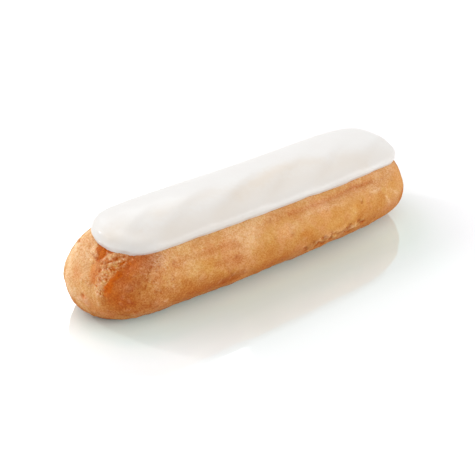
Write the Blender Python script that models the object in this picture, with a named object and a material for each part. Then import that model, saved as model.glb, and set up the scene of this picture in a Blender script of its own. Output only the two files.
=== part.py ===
"""Vanilla eclair: a baked choux bun whose top has been dipped in white fondant icing.

Units are metres and +Z is up. The eclair lies along X on its flat base, with its folded end
at -X. The origin is on the base, under the middle of the whole. Every outline below is worked
out from the named sizes.
"""

from functools import cache

import bmesh
import bpy
import numpy as np
from mathutils import Matrix, Vector, noise

MM = 0.001

# Driving dimensions of the bun. Five values in a row run from the -X end to the +X end, and
# BEND is how far the tips lie to the +Y side of the middle.
LENGTH = 140.0 * MM
FIVE_PLACES = (-0.8, -0.4, 0.0, 0.4, 0.8)
WIDTHS = tuple(MM * w for w in (43.2, 44.0, 45.0, 45.4, 41.5))
CROWN_HEIGHTS = tuple(MM * h for h in (28.8, 29.9, 29.2, 29.1, 28.4))
WIDEST_HEIGHT = 10.8 * MM
SQUASH_INTO_BASE = 1.6 * MM
BEND = 1.9 * MM

# Roundings of the -X and +X ends: the length that an end takes, and the power of its curve.
PLAN_ENDS = ((20.7 * MM, 1.82), (17.9 * MM, 2.9))
CROWN_ENDS = ((25.5 * MM, 1.6), (12.4 * MM, 2.1))
BASE_ENDS = ((13.2 * MM, 2.0), (13.2 * MM, 2.0))

# Powers of the cross-section's curves: across, above the widest height, and below it.
ACROSS_POWER = 2.24
UPPER_POWER = 1.95
LOWER_POWER = 1.6

# Relief of the crust: the piping nozzle's faint ridges, which wander and fade out towards the
# tips, then wide swells and small blisters.
NOZZLE_RIDGES = 15
NOZZLE_DEPTH = 0.16 * MM
NOZZLE_WANDER = 1.5
NOZZLE_FADE = 16.0 * MM
SWELL_SIZE = 16.0 * MM
SWELL_DEPTH = 0.45 * MM
BLISTER_SIZE = 5.0 * MM
BLISTER_DEPTH = 0.16 * MM
WANDER_OFFSET = Vector((7.0, 0.0, 0.0))

# Folds, grooves and crags. Each runs between two places on the crust, given as millimetres
# along X and degrees turned from +Y over the crown. Then come its reach to each side and its
# height, in millimetres. A negative height is a groove.
FOLDS = (
    ((-59.8, 90), (-59.2, 95), 1.7, 0.6),
    ((-60.4, 102), (-57.0, 112), 1.8, 0.8),
    ((-61.0, 116), (-63.8, 128), 2.0, 0.8),
    ((-63.8, 128), (-64.6, 180), 2.3, 0.6),
    ((-57.0, 122), (-60.3, 131), 2.6, -1.0),
    ((-60.3, 131), (-63.0, 149), 2.6, -0.8),
    ((-61.0, 88), (-64.5, 98), 2.0, -0.7),
    ((-64.5, 98), (-66.5, 139), 2.2, -0.6),
    ((-50.0, 128), (-58.3, 145), 3.0, -0.5),
    ((-58.3, 145), (-62.5, 172), 3.0, -0.45),
    ((-44.8, 152), (-60.0, 170), 4.0, 0.35),
    ((-42.0, 147), (-18.3, 149), 3.0, -0.5),
    ((-17.6, 154), (-18.4, 172), 2.0, -0.4),
    ((-18.4, 172), (-21.5, 197), 1.7, -0.5),
    ((-14.6, 152), (-5.0, 152), 4.0, 0.45),
    ((4.8, 149), (5.1, 168), 2.0, -0.4),
    ((8.0, 138), (21.6, 140), 2.0, -0.5),
    ((21.6, 140), (45.3, 143), 2.2, -0.8),
    ((18.0, 151), (46.0, 154), 3.0, 0.4),
    ((15.5, 197), (17.5, 191), 1.7, -0.7),
    ((18.0, 186), (20.8, 184), 1.8, 0.7),
    ((24.0, 180), (26.5, 178), 1.8, 0.7),
    ((29.5, 184), (32.0, 181), 1.7, 0.6),
    ((30.0, 200), (32.0, 193), 1.7, -0.7),
    ((24.5, 167), (28.0, 166), 2.8, 0.35),
    ((31.0, 165), (34.5, 165), 3.2, 0.45),
)

# Icing: height of its edge above the base, its thickness, and the round bead of its edge.
ICING_EDGE_HEIGHTS = tuple(MM * h for h in (24.2, 24.8, 24.5, 24.2, 23.4))
ICING_THICKNESSES = tuple(MM * t for t in (1.7, 2.2, 2.1, 2.0, 2.2))
ICING_BEAD = 2.2 * MM
ICING_SPINE_INSET = 13.0 * MM
FITTED_GAP = 0.3 * MM

# Finishes: colour and roughness.
CRUST_FINISH = ((0.66, 0.33, 0.11), 0.6)
ICING_FINISH = ((0.9, 0.88, 0.84), 0.25)

# How finely the solids are faceted.
BUN_RINGS = 90
END_CROWDING = 1.6
BUN_SIDES = 52
ICING_RIM_POINTS = 112
ICING_EDGE_ROWS = (0.0, 0.03, 0.12, 0.28, 0.52, 1.0)
ICING_TOP_ROWS = 7
ICING_UNDER_ROWS = 6
FINE_STEPS = 4001
SLOPE_STEP = 0.1 * MM
MERGE_DISTANCE = 0.002 * MM


def along(values, x):
    """A smooth curve through five values, read at each x."""
    return np.polyval(np.polyfit(FIVE_PLACES, values, len(values) - 1), 2 * x / LENGTH)


def end_rounding(x, ends):
    """1 along the body, curving to 0 at each tip."""
    (near_length, near_power), (far_length, far_power) = ends
    near = (-x - (LENGTH / 2 - near_length)) / near_length
    far = (x - (LENGTH / 2 - far_length)) / far_length
    share = np.clip(np.where(x < 0, near, far), 0, 1)
    power = np.where(x < 0, near_power, far_power)
    return np.maximum(1 - share**power, 0) ** (1 / power)


def middle_y(x):
    """The bun's slight sideways bend."""
    return BEND * (2 * x / LENGTH) ** 2


def half_width(x):
    return along(WIDTHS, x) / 2 * end_rounding(x, PLAN_ENDS)


def rise(x):
    """Height of the crown above the widest height."""
    crown = along(CROWN_HEIGHTS, x) - WIDEST_HEIGHT
    return crown * end_rounding(x, CROWN_ENDS)


def drop(x):
    """Depth below the widest height. The part below the base is pressed flat."""
    return (WIDEST_HEIGHT + SQUASH_INTO_BASE) * end_rounding(x, BASE_ENDS)


def crust_point(x, turn):
    """A point of the smooth bun at x, turned from +Y over the crown."""
    cosine = np.cos(turn)
    sine = np.sin(turn)
    y = middle_y(x) + half_width(x) * np.sign(cosine) * np.abs(cosine) ** (2 / ACROSS_POWER)
    above = WIDEST_HEIGHT + rise(x) * np.abs(sine) ** (2 / UPPER_POWER)
    below = WIDEST_HEIGHT - drop(x) * np.abs(sine) ** (2 / LOWER_POWER)
    return np.stack([x + 0 * turn, y, np.where(sine > 0, above, below)], axis=-1)


def crown_point(x, y):
    """The point of the smooth bun's upper side that lies over (x, y)."""
    across = np.clip(np.abs(y - middle_y(x)) / half_width(x), 0, 1)
    z = WIDEST_HEIGHT + rise(x) * (1 - across**ACROSS_POWER) ** (1 / UPPER_POWER)
    return np.stack([x, y, z], axis=-1)


def evenly_along(points, count):
    """Indices, as fractions, of places an equal way apart along a line of points."""
    steps = np.linalg.norm(np.diff(points, axis=0), axis=1)
    way = np.concatenate([[0], np.cumsum(steps)])
    return np.interp(np.linspace(0, way[-1], count), way, np.arange(len(way)))


def crust_place(place):
    """The point of the smooth bun at a place of FOLDS."""
    x, degrees = place
    return Vector(crust_point(np.array(x * MM), np.radians(degrees)))


@cache
def fold_runs():
    """Each fold's start, the way from there to its end, its reach and its height, in metres."""
    runs = []
    for start, end, reach, height in FOLDS:
        start_point = crust_place(start)
        runs.append((start_point, crust_place(end) - start_point, reach * MM, height * MM))
    return runs


def fold_height(point):
    """Height that the folds, grooves and crags add at a point of the crust."""
    total = 0.0
    for start, run, reach, height in fold_runs():
        share = (point - start).dot(run) / run.length_squared
        nearest = start + run * min(max(share, 0.0), 1.0)
        total += height * np.exp(-(((point - nearest).length / reach) ** 2))
    return total


def relief(point):
    """How far the crust stands out from the smooth bun at a point."""
    across = Vector((point.y - middle_y(point.x), point.z - WIDEST_HEIGHT))
    turn = np.arctan2(across.y, across.x)
    wander = noise.noise(point / SWELL_SIZE + WANDER_OFFSET)
    ridges = np.cos(NOZZLE_RIDGES * turn + NOZZLE_WANDER * wander) * NOZZLE_DEPTH
    ridges *= min(across.length / NOZZLE_FADE, 1.0) ** 2
    swell = noise.noise(point / SWELL_SIZE) * SWELL_DEPTH
    blister = noise.noise(point / BLISTER_SIZE) * BLISTER_DEPTH
    return ridges + swell + blister + fold_height(point)


def link_loops(mesh, lower, upper):
    """Quads between two closed loops of vertices."""
    for i, vert in enumerate(lower):
        after = (i + 1) % len(lower)
        mesh.faces.new((vert, lower[after], upper[after], upper[i]))


def finish(mesh, name, look):
    """Makes a bmesh an object with its own material, its faces pointing out."""
    colour, roughness = look
    bmesh.ops.remove_doubles(mesh, verts=mesh.verts, dist=MERGE_DISTANCE)
    bmesh.ops.recalc_face_normals(mesh, faces=mesh.faces)
    data = bpy.data.meshes.new(name)
    mesh.to_mesh(data)
    mesh.free()
    data.shade_smooth()
    material = bpy.data.materials.new(name)
    material.use_nodes = True
    shader = material.node_tree.nodes["Principled BSDF"]
    shader.inputs["Base Color"].default_value = (*colour, 1.0)
    shader.inputs["Roughness"].default_value = roughness
    shader.inputs["Metallic"].default_value = 0.0
    data.materials.append(material)
    item = bpy.data.objects.new(name, data)
    bpy.context.scene.collection.objects.link(item)
    return item


def bun_stations():
    """Places of the rings along X, closer together at the ends, where the crust turns."""
    x = -LENGTH / 2 * np.cos(np.linspace(0, np.pi, FINE_STEPS))
    places = evenly_along(np.stack([x, half_width(x) * END_CROWDING], axis=1), BUN_RINGS)
    return np.interp(places, np.arange(FINE_STEPS), x)


def bun_turns():
    """Turns of the ring's corners, evenly spaced round the middle cross-section."""
    turns = np.linspace(0, 2 * np.pi, FINE_STEPS)
    places = evenly_along(crust_point(np.zeros(FINE_STEPS), turns), BUN_SIDES + 1)
    return np.interp(places, np.arange(FINE_STEPS), turns)[:-1]


def make_bun():
    """The choux bun: rings round the X axis, closed at both tips, with the crust's relief."""
    mesh = bmesh.new()
    stations = bun_stations()
    turns = bun_turns()
    rings = []
    for x in stations[1:-1]:
        points = crust_point(np.full(BUN_SIDES, x), turns)
        rings.append([mesh.verts.new(point) for point in points])
    for lower, upper in zip(rings, rings[1:]):
        link_loops(mesh, lower, upper)
    for ring, tip_x in ((rings[0], stations[0]), (rings[-1], stations[-1])):
        tip = mesh.verts.new((tip_x, float(middle_y(tip_x)), WIDEST_HEIGHT))
        for i, vert in enumerate(ring):
            mesh.faces.new((vert, ring[(i + 1) % BUN_SIDES], tip))
    bmesh.ops.recalc_face_normals(mesh, faces=mesh.faces)
    mesh.normal_update()
    shifts = [(vert, vert.normal * relief(vert.co)) for vert in mesh.verts]
    for vert, shift in shifts:
        vert.co += shift
        vert.co.z = max(vert.co.z, 0.0)
    return finish(mesh, "choux_bun", CRUST_FINISH)


def icing_rim():
    """The icing's edge in plan, where the bun's top was dipped to the edge height."""
    x = np.linspace(-LENGTH / 2, LENGTH / 2, FINE_STEPS)[1:-1]
    covered = WIDEST_HEIGHT + rise(x) > along(ICING_EDGE_HEIGHTS, x)
    first, last = x[covered][0], x[covered][-1]
    x = first + (last - first) * (1 - np.cos(np.linspace(0, np.pi, FINE_STEPS))) / 2
    level = np.clip((along(ICING_EDGE_HEIGHTS, x) - WIDEST_HEIGHT) / rise(x), 0, 1)
    side = half_width(x) * (1 - level**UPPER_POWER) ** (1 / ACROSS_POWER)
    places = evenly_along(np.stack([x, side], axis=1), ICING_RIM_POINTS // 2 + 1)
    x, side = [np.interp(places, np.arange(FINE_STEPS), row) for row in (x, side)]
    there = np.stack([x, middle_y(x) - side], axis=1)
    back = np.stack([x, middle_y(x) + side], axis=1)[-2:0:-1]
    return np.concatenate([there, back])


def rim_reach(rim):
    """The greatest way in plan from the icing's spine out to its rim."""
    return np.abs(rim[:, 1] - middle_y(rim[:, 0])).max()


def icing_rows(rim, shares):
    """Loops of plan points from the rim in to the icing's spine, one for each share."""
    low = rim[:, 0].min() + ICING_SPINE_INSET
    high = rim[:, 0].max() - ICING_SPINE_INSET
    spine_x = np.clip(rim[:, 0], low, high)
    spine = np.stack([spine_x, middle_y(spine_x)], axis=1)
    return [rim + (spine - rim) * share for share in shares]


def surface_with_normals(rows):
    """Points of the smooth bun over each row of plan points, and their normals."""
    surface = np.array([crown_point(row[:, 0], row[:, 1]) for row in rows])
    east = np.array([crown_point(row[:, 0] + SLOPE_STEP, row[:, 1]) for row in rows])
    north = np.array([crown_point(row[:, 0], row[:, 1] + SLOPE_STEP) for row in rows])
    normals = np.cross(east - surface, north - surface)
    return surface, normals / np.linalg.norm(normals, axis=2, keepdims=True)


def add_icing_side(mesh, rim, shares, thickness_share):
    """One side of the icing, from the rim to the spine: its top, or its underside at 0."""
    reach = rim_reach(rim)
    surface, normals = surface_with_normals(icing_rows(rim, shares))
    loops = []
    for row, row_normals, share in zip(surface, normals, shares):
        bead = min(share * reach / ICING_BEAD, 1.0)
        fill = thickness_share * np.sqrt(1 - (1 - bead) ** 2)
        loop = []
        for point, normal in zip(row, row_normals):
            under = relief(Vector(point)) + FITTED_GAP
            over = float(along(ICING_THICKNESSES, point[0])) + FITTED_GAP
            loop.append(mesh.verts.new(point + normal * (under + (over - under) * fill)))
        loops.append(loop)
    for lower, upper in zip(loops, loops[1:]):
        link_loops(mesh, lower, upper)


def make_icing():
    """The fondant cap: a smooth top over an underside that follows the crust."""
    rim = icing_rim()
    bead_share = ICING_BEAD / rim_reach(rim)
    edge_shares = [bead_share * row for row in ICING_EDGE_ROWS]
    top_shares = list(np.linspace(bead_share, 1, ICING_TOP_ROWS + 1)[1:])
    under_shares = list(np.linspace(0, 1, ICING_UNDER_ROWS + 1))
    mesh = bmesh.new()
    add_icing_side(mesh, rim, edge_shares + top_shares, 1.0)
    add_icing_side(mesh, rim, under_shares, 0.0)
    return finish(mesh, "white_icing", ICING_FINISH)


def centre(items):
    """Moves the pieces together, so that the origin is under the middle of the whole."""
    corners = np.array([vert.co for item in items for vert in item.data.vertices])
    low, high = corners.min(axis=0), corners.max(axis=0)
    shift = Vector((-(low[0] + high[0]) / 2, -(low[1] + high[1]) / 2, -low[2]))
    for item in items:
        item.data.transform(Matrix.Translation(shift))


def main():
    for item in list(bpy.data.objects):
        bpy.data.objects.remove(item)
    centre([make_bun(), make_icing()])


main()
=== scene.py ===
"""Looks of the vanilla eclair: baked choux crust, white fondant icing, and a plain studio.

Units are metres. The eclair lies along X on the floor at z = 0. The camera stands where the
photograph was taken from, at -Y and to the -X side.
"""

import math
from dataclasses import dataclass

import bmesh
import bpy
import numpy as np
from mathutils import Matrix, Vector, noise
from mathutils.bvhtree import BVHTree
from mathutils.kdtree import KDTree


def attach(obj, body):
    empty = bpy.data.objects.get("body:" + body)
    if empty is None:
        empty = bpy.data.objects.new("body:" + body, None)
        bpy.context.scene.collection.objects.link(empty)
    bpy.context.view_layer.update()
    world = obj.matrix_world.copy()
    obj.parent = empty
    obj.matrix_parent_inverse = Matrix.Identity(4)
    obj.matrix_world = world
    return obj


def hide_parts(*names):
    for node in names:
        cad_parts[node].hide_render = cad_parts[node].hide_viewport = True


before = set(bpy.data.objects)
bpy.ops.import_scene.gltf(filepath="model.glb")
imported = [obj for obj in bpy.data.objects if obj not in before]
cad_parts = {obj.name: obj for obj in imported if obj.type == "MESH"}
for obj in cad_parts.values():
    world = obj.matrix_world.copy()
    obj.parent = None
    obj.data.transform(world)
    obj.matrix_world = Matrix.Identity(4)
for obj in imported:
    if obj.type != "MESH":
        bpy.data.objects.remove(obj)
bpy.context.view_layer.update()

MM = 0.001

# The photograph: its frame in pixels, and the camera that took it.
PHOTO_SIZE = 475
FOCAL_PIXELS = 1200.0
CAMERA_AZIMUTH = math.radians(-38.0)
CAMERA_ELEVATION = math.radians(30.1)
CAMERA_DISTANCE = 429.3 * MM
CAMERA_TARGET = Vector((-1.2, 1.9, 6.4)) * MM
SENSOR_WIDTH = 36.0
CLIP_START = 0.01
CLIP_END = 20.0

# How the frame's triangles become quads again before they are subdivided: the distance at
# which points are joined, and how far in radians two triangles may bend and be off square.
JOIN_DISTANCE = 0.002 * MM
JOIN_BEND = 0.7
JOIN_SKEW = 1.2
SUBDIVISIONS = 2

# The crust's mesh: its voxels, the smoothing after them, the height under which a point is on
# the flat base, and the lowest and highest corner of the box at the near tip that is finer.
CRUST_VOXEL = 0.5 * MM
SMOOTHING_FACTOR = 0.5
SMOOTHING_ROUNDS = 3
FLAT_BASE = 0.05 * MM
FINER_BOX = ((-70 * MM, -30 * MM, 2 * MM), (-44 * MM, 0, 30 * MM))

# Roughness of the crust's relief: grain size, height and stretch along X.
CRUST_GRAINS = (
    (6.0 * MM, 0.18 * MM, 1.8),
    (2.4 * MM, 0.08 * MM, 1.2),
    (1.2 * MM, 0.06 * MM, 1.0),
)

# Bumps along the foot: their size, height and stretch along X, then how high above the floor
# they are and how far up and down they reach from there.
FOOT_BUMPS = (2.6 * MM, 0.45 * MM, 1.6)
FOOT_BUMPS_AT = (2.0 * MM, 2.5 * MM)

# Where the crust's relief is lower: near the floor, within a reach under the icing, where it
# is orange, and nowhere more than a share of the distance to the icing.
BASE_EDGE = (0, 0.8 * MM)
ICING_REACH = 3 * MM
UNDER_ICING_RELIEF = 0.3
ORANGE_SMOOTHNESS = 0.75
MOST_OF_ICING_GAP = 0.6

# How ragged the marks are: how far they wander, and the share by which their reach varies,
# each with the size of its noise.
WARP_SIZE = 2.2 * MM
WARP = 0.35 * MM
RAGGED_SIZE = 1.4 * MM
RAGGED = 0.3

# A mark's step is this wide, and a mark is worked out up to so many times its reach.
STEP_EDGE = 0.5 * MM
MARK_EXTENT = 3

# Where in the noise each use of it starts, and how far on its next layer is.
RAGGED_NOISE = 3.0
POUR_NOISE = 9.0
WAVE_NOISE = 20.0
FOOT_NOISE = 40.0
NOISE_STEP = 5.0

# Browning and painted light: tints that are added where the normal's Z is high (a paler top,
# painted sheen) or low (browning with painted shade), from the foot's lowest edge up to a
# height (browning with painted shade), and in the thin damp line along the icing (damp crust
# with painted shadow under the icing's edge).
FACING_UP = (0.45, 0.9)
UPSIDE_PAINTED_SHEEN = 0.26
UPSIDE_TOAST = 0.12
FACING_DOWN = (-0.45, 0.5)
UNDERSIDE_TOAST_AND_SHADE = 0.42
UNDERSIDE_ORANGE_AND_SHADE = 0.24
FOOT = (0.5 * MM, 4.0 * MM)
FOOT_TOAST_AND_SHADE = 0.6
DAMP_AND_SHADE_REACH = 0.5 * MM
DAMP_TOAST_AND_SHADE = 0.8


@dataclass
class Mark:
    """A crease, fold, pit, stain, painted shade or painted highlight along a line, with its sizes in
    millimetres.

    The line's left side is step higher than its right side, and all of it is lifted by lift.
    The tints of all marks add up, and the sum is held between -1 and 1. With right_only they
    stay off the left side.
    """

    line: tuple
    reach: float
    lift: float = 0.0
    step: float = 0.0
    toast_and_shading: float = 0.0
    orange: float = 0.0
    pale: float = 0.0
    right_only: bool = False


# What shows on the crust, each along a line of the photograph's pixels: folds, pits and stains,
# and in the tints also painted shade in crevices, under the icing and along the groove, and
# painted highlights on ridge tops and along the near end's outline.
CRUST_MARKS = {
    "icing shade": Mark(
        ((99, 244.6), (102, 247.4), (105, 249.6), (108, 251.4), (112, 253)), 0.6,
        toast_and_shading=1.2, orange=0.4, pale=-0.4
    ),
    "knob": Mark(((98, 249), (98.8, 252.6)), 0.9, lift=0.5, toast_and_shading=0.45, orange=0.3, pale=-0.2),
    # The lump's right side: painted shade.
    "knob shaded side": Mark(
        ((100.8, 248.6), (102.4, 251.4), (102.2, 254), (100.2, 256)), 0.85,
        toast_and_shading=1.5, orange=0.5, pale=-0.6
    ),
    # The lump's left top: painted highlight.
    "knob lit side": Mark(((94.4, 247), (94.2, 251), (95.6, 254.4)), 0.9, lift=0.15, pale=0.55),
    # Darker in the crevice: painted shade.
    "knob crevice": Mark(
        ((105.4, 250.6), (105, 254), (102, 256.8), (99, 258.4)), 0.5, lift=-0.5, toast_and_shading=1.5, orange=0.3
    ),
    # Painted shade line along the lump's left edge.
    "knob outline": Mark(((93.4, 254), (94.2, 257), (96.6, 259)), 0.35, lift=-0.2, toast_and_shading=0.7),
    "knob dent": Mark(((93, 254), (95, 258.4), (98.4, 260)), 0.6, lift=-0.25, toast_and_shading=0.35, orange=0.2),
    "shelf": Mark(((106.4, 253), (107.6, 254)), 0.4, lift=0.1, toast_and_shading=0.5, pale=0.3),
    "knob shadow": Mark(
        ((104.2, 250), (105.4, 252.4), (104.6, 254.6)), 0.7, toast_and_shading=1.3, orange=0.25, pale=-0.5
    ),
    "crack lip": Mark(((98.6, 259.6), (101, 260.6), (103.4, 259.8)), 0.6, lift=0.15, toast_and_shading=0.2, pale=0.3),
    # Lighter top of the roll: painted highlight.
    "roll": Mark(((105, 260.2), (108.6, 258.4), (113.4, 255.4)), 0.8, lift=0.4, pale=0.22),
    "roll shade": Mark(((105.4, 260.4), (106.8, 260.2)), 0.5, lift=-0.2, toast_and_shading=0.7, orange=0.6),
    # Darker notch: painted shade.
    "roll notch": Mark(((115, 258.2), (117, 258.8)), 0.45, lift=-0.2, toast_and_shading=0.45, orange=0.3),
    # Darker crevice: painted shade.
    "roll crevice": Mark(
        ((114.8, 259.2), (117, 257.8), (120.6, 256.8)), 0.6, lift=-0.35, toast_and_shading=0.45, orange=0.3
    ),
    # Darker at the roll's foot: painted shade.
    "roll foot": Mark(((106, 264), (110, 262), (114, 260.6)), 0.45, lift=-0.25, toast_and_shading=0.7, orange=0.4),
    # Lighter ridge top: painted highlight.
    "far roll": Mark(
        ((111, 263.5), (116, 261.6), (121, 259.4), (126.5, 257.2)), 0.45, lift=0.35, pale=0.5
    ),
    "far roll side": Mark(((117, 264), (122, 262), (128, 259.6)), 0.8, lift=0.1, toast_and_shading=0.1),
    "roll pits": Mark(((121.6, 263.6), (123.8, 262.4)), 0.4, lift=-0.3, toast_and_shading=0.4, orange=0.6),
    "band shade": Mark(((100.6, 258), (99.4, 267), (97, 277)), 2.2, toast_and_shading=0.5, orange=0.22, pale=-0.2),
    # Darker and redder down the valley.
    "valley dark band": Mark(((92.4, 268), (92.4, 275), (92.6, 280)), 1.4, toast_and_shading=0.3, orange=0.3, pale=-0.3),
    "band light": Mark(((103, 273), (101.4, 280), (100.8, 288)), 1.1, toast_and_shading=-0.3, pale=0.4),
    "valley light": Mark(((93.6, 284), (94, 290)), 1.3, toast_and_shading=-0.3, pale=0.25),
    "recess": Mark(
        ((108.4, 297), (106.6, 289), (108.6, 281.6), (113.6, 275.6), (120.6, 270.4), (130, 263.8)),
        1.5, step=0.6, orange=0.1, right_only=True
    ),
    "recess stain": Mark(
        ((109, 291), (109.6, 287), (111.4, 281.8), (115, 277.4), (118.6, 274.4)),
        1.2, lift=-0.15, orange=0.72
    ),
    "stain spread": Mark(((114, 294), (119, 284), (127, 275), (132, 267)), 3.0, toast_and_shading=0.12, orange=0.3),
    "recess top": Mark(((119, 273), (125.4, 268.4), (131, 263)), 1.2, lift=-0.15, toast_and_shading=0.5, orange=0.15),
    "pale band": Mark(
        ((119, 263.4), (110, 267), (104.4, 272), (101, 279), (101, 289), (104, 301)), 1.8,
        lift=0.15, toast_and_shading=0.2, orange=0.05
    ),
    "crumb light": Mark(((127, 261.4), (115, 266.6), (105, 273)), 1.6, toast_and_shading=-0.2, pale=-0.12),
    "valley": Mark(((97.6, 256), (95, 263), (93.6, 275), (93.4, 281)), 1.7, lift=-0.25, toast_and_shading=0.4),
    # Darker band along the groove: painted shade.
    "dark band": Mark(((139, 262), (129, 273), (121, 286), (117, 298)), 4.6, toast_and_shading=0.66, orange=0.22),
    "dark band stain 1": Mark(((127, 280), (131, 288)), 2.0, toast_and_shading=0.4),
    "dark band stain 2": Mark(((140, 284), (145, 279)), 1.6, toast_and_shading=0.3),
    "dark band top": Mark(((136, 260.6), (147, 256.6)), 2.4, toast_and_shading=0.85, orange=0.25),
    "light band": Mark(((175, 268), (148, 283), (126, 303)), 2.8, toast_and_shading=0.2, orange=0.12),
    "lower side": Mark(((200, 280), (160, 294), (126, 304)), 3.4, toast_and_shading=0.25),
    "near rim": Mark(((86, 300), (96, 309), (112, 316)), 1.8, orange=0.14, pale=0.1),
    "near cheek": Mark(((86, 240), (77, 262), (82, 285), (86, 296)), 4.4, orange=0.08, pale=0.26),
    # The next three are painted rim highlights, lighter along the near end's outline.
    "cheek rim highlight": Mark(((93, 228.6), (88, 232), (83, 237), (77, 245)), 1.0, toast_and_shading=-0.3, pale=0.6),
    "left rim highlight": Mark(((74, 250), (69.5, 261), (67, 275), (70, 291)), 2.2, toast_and_shading=-0.3, pale=0.75),
    "low rim highlight": Mark(((73, 292), (78, 301), (85, 308)), 1.3, toast_and_shading=-0.8, pale=0.4),
    "near belly": Mark(((88, 268), (84, 286), (92, 302)), 4.0, toast_and_shading=-0.8, orange=0.14),
    "near ochre": Mark(((75, 269), (76, 275)), 1.8, toast_and_shading=-0.3, orange=0.3),
    "belly light": Mark(((78, 256), (75, 270), (75, 284), (80, 296)), 2.4, toast_and_shading=-0.1, pale=0.18),
    "cheek bloom": Mark(((87, 252), (88, 262), (87, 268)), 1.4, pale=0.24),
    "near foot": Mark(((112, 316), (130, 313), (150, 306)), 1.3, toast_and_shading=0.3),
    "foot notch": Mark(((222, 283), (236, 278), (250, 273)), 1.8, lift=-0.35),
    "left bulge": Mark(((68, 278), (68.5, 285), (71, 291)), 2.2, lift=0.22),
    "shoulder bulge": Mark(((82, 236), (77.5, 244)), 2.0, lift=0.18),
    "far bulge": Mark(((398, 172), (401, 182), (400, 190)), 2.2, lift=0.18),
    "near pale ridge": Mark(((99.5, 281), (97.6, 292), (98.4, 305)), 0.7, lift=0.15, pale=0.25),
    "pit 1": Mark(((78.8, 240.9), (79.4, 241.7)), 0.7, lift=-0.6, toast_and_shading=0.4, orange=0.5),
    "pit 1 rim": Mark(((77, 243.6), (80, 244.5)), 0.7, lift=0.25, pale=0.4),
    "pit 2": Mark(((82.1, 295.2), (82.8, 296.5)), 0.7, lift=-0.6, toast_and_shading=0.4, orange=0.5),
    "pit 2 rim": Mark(((79, 298), (84, 299.5)), 0.8, lift=0.25, pale=0.5),
    "pit 3": Mark(((86.4, 300.3), (87.4, 304)), 0.9, lift=0.3, toast_and_shading=-0.3, pale=0.6),
    "crease": Mark(((237, 270), (234, 274.6), (231, 279)), 0.35, lift=0.12, pale=0.25),
    "crease shade": Mark(((243, 273), (234, 278), (224, 283)), 1.5, lift=-0.1, toast_and_shading=0.35),
    "middle foot": Mark(((264, 266), (276, 261.5), (286, 257.5)), 1.5, toast_and_shading=0.3),
    "crease branch": Mark(((227.5, 268), (231, 273), (233, 278)), 0.5, lift=-0.2, toast_and_shading=0.2),
    "middle groove": Mark(
        ((174, 263), (188, 257.4), (212, 250), (236, 244)), 1.4, lift=-0.16, toast_and_shading=0.22, orange=0.08
    ),
    "middle ridge": Mark(((178, 265.4), (200, 258.4), (217, 254.4)), 0.6, lift=0.1, pale=0.16),
    "middle valley": Mark(((240, 248), (240, 260)), 1.5, toast_and_shading=0.15, orange=0.05),
    "middle lobe": Mark(((246, 246), (254, 236)), 3.0, lift=0.1, pale=0.36),
    "bloom": Mark(((160, 262), (186, 255), (212, 246)), 3.0, pale=0.2),
    "far bloom": Mark(((232, 237), (246, 231), (258, 222)), 2.6, pale=0.26),
    "dark spot 1": Mark(((150, 264), (161, 257)), 2.2, toast_and_shading=0.4),
    "dark spot 2": Mark(((206, 243), (220, 238), (232, 232)), 1.8, toast_and_shading=0.1, orange=0.05),
    "dark spot 3": Mark(((216, 264), (228, 261), (238, 258)), 1.8, toast_and_shading=0.4, orange=0.1),
    "dark spot 4": Mark(((209, 250.6), (218, 249.6), (228, 246)), 2.4, toast_and_shading=0.12, orange=0.08),
    "rosy spot 1": Mark(((256, 231), (258, 237)), 1.7, toast_and_shading=0.16, orange=0.06),
    "rosy spot 2": Mark(((270, 222), (286, 212)), 2.2, toast_and_shading=0.28, orange=0.08),
    "rosy spot 3": Mark(((326, 205), (338, 199)), 1.5, toast_and_shading=0.15),
    "light spot 1": Mark(((172, 277), (192, 268)), 2.6, toast_and_shading=-0.1, pale=0.2),
    "light spot 2": Mark(((292, 227), (308, 217)), 2.4, pale=0.18),
    "far gold": Mark(((310, 226), (345, 210), (368, 200)), 5.0, orange=0.1),
    "golden middle": Mark(((188, 280), (215, 266)), 4.0, toast_and_shading=-0.15),
    "dark foot": Mark(((180, 299), (200, 291), (226, 281)), 2.6, toast_and_shading=0.35),
    "crease foot": Mark(((230, 282), (238, 278.4)), 0.8, toast_and_shading=0.25),
    "far valley": Mark(((289.5, 226), (291, 231), (292, 237)), 0.7, lift=-0.2, toast_and_shading=0.15),
    "under icing": Mark(((298, 205.5), (336, 190.5), (368, 176)), 1.1, toast_and_shading=0.1),
    "groove": Mark(
        ((290, 213.7), (303, 209.4), (322.5, 202), (346, 191.6), (362.8, 184.9), (369, 182)), 1.0,
        lift=-0.28, step=0.15, toast_and_shading=0.4, orange=0.15
    ),
    "rosy strip": Mark(((308, 209), (330, 200.6), (350, 193.6), (366, 187)), 1.2, orange=0.06, pale=0.12),
    "dotted ridge": Mark(((302, 216), (322, 209), (342, 203.4)), 0.5, lift=0.08, pale=0.22),
    "groove deep": Mark(((346, 190.5), (355, 186.8), (363, 183.8)), 0.7, lift=-0.1, toast_and_shading=0.3),
    "ridge": Mark(
        ((290, 222.8), (316, 213), (339.4, 202), (362.8, 190.3), (378, 180)), 1.2, lift=0.2, toast_and_shading=0.08
    ),
    "crag pit 1": Mark(((321, 244.4), (318.5, 243)), 0.6, lift=-0.6, toast_and_shading=0.6, orange=0.3),
    "crag pit 2": Mark(((330.5, 238.8), (327, 240.4)), 0.5, lift=-0.5, toast_and_shading=0.4, orange=0.4),
    "crag pit 3": Mark(((349.5, 231.5), (346, 232.6)), 0.5, lift=-0.5, toast_and_shading=0.5, orange=0.3),
    "crag pit 4": Mark(((358, 224.5), (360.5, 222)), 0.6, lift=-0.3, toast_and_shading=0.3),
    "crag flake 1": Mark(((345, 226.4), (340, 229.5), (334, 231.6)), 0.6, lift=0.35, toast_and_shading=-0.3, pale=0.2),
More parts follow.
